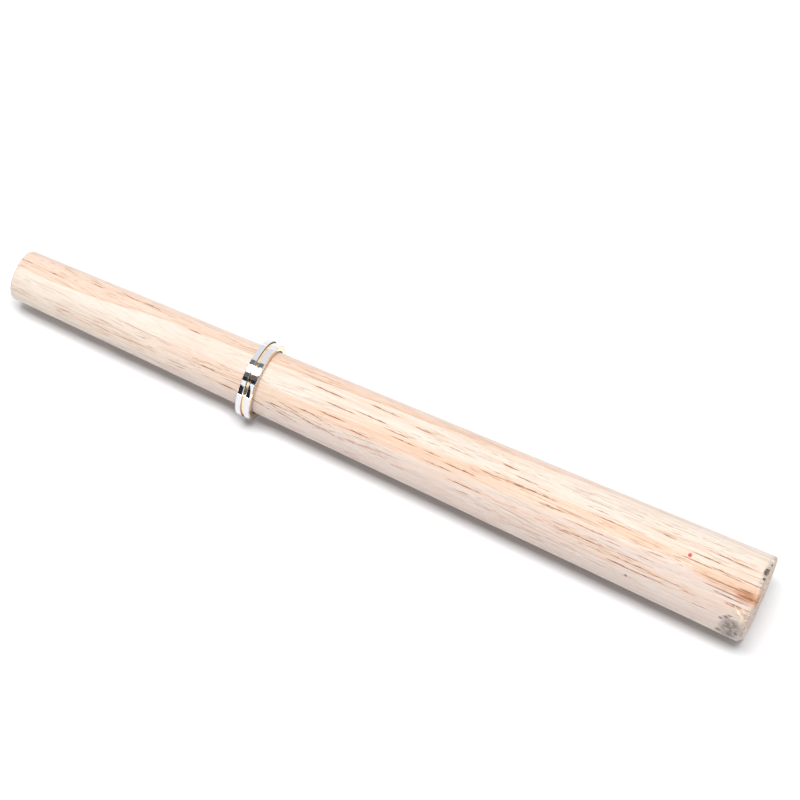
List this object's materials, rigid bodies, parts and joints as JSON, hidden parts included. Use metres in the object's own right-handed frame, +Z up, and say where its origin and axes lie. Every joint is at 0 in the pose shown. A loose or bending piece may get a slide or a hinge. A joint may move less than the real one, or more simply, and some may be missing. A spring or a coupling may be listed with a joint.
{
  "type": "ring mandrel",
  "caption": "Round tapered wooden ring mandrel lying on its side, carrying a grooved two-tone finger ring that slides along the taper and off its thin end.",
  "frame": {"origin": "on the table under the middle of the lying assembly's box", "axes": "+X along the mandrel towards its thick end, +Z up from the table, +Y to the left when looking along +X; the mandrel's own axis rises 0.44 degrees towards +X because the ring lifts it"},
  "size_m": [0.2402, 0.0266, 0.0266],
  "materials": {
    "pale_wood": "bare turned pale wood with fine brown pore lines, matt",
    "gold_tone_metal": "polished gold tone",
    "polished_white_metal": "mirror polished white metal"
  },
  "bodies": {
    "mandrel": {"mandrel": "pale_wood"},
    "ring": {"ring_core": "gold_tone_metal", "ring_band_tip_side": "polished_white_metal", "ring_band_base_side": "polished_white_metal"}
  },
  "joints": [
    {"name": "ring_slide", "type": "slide", "parent": "mandrel", "child": "ring", "axis": [-1, 0, 0], "range_m": [0, 0.085]}
  ]
}
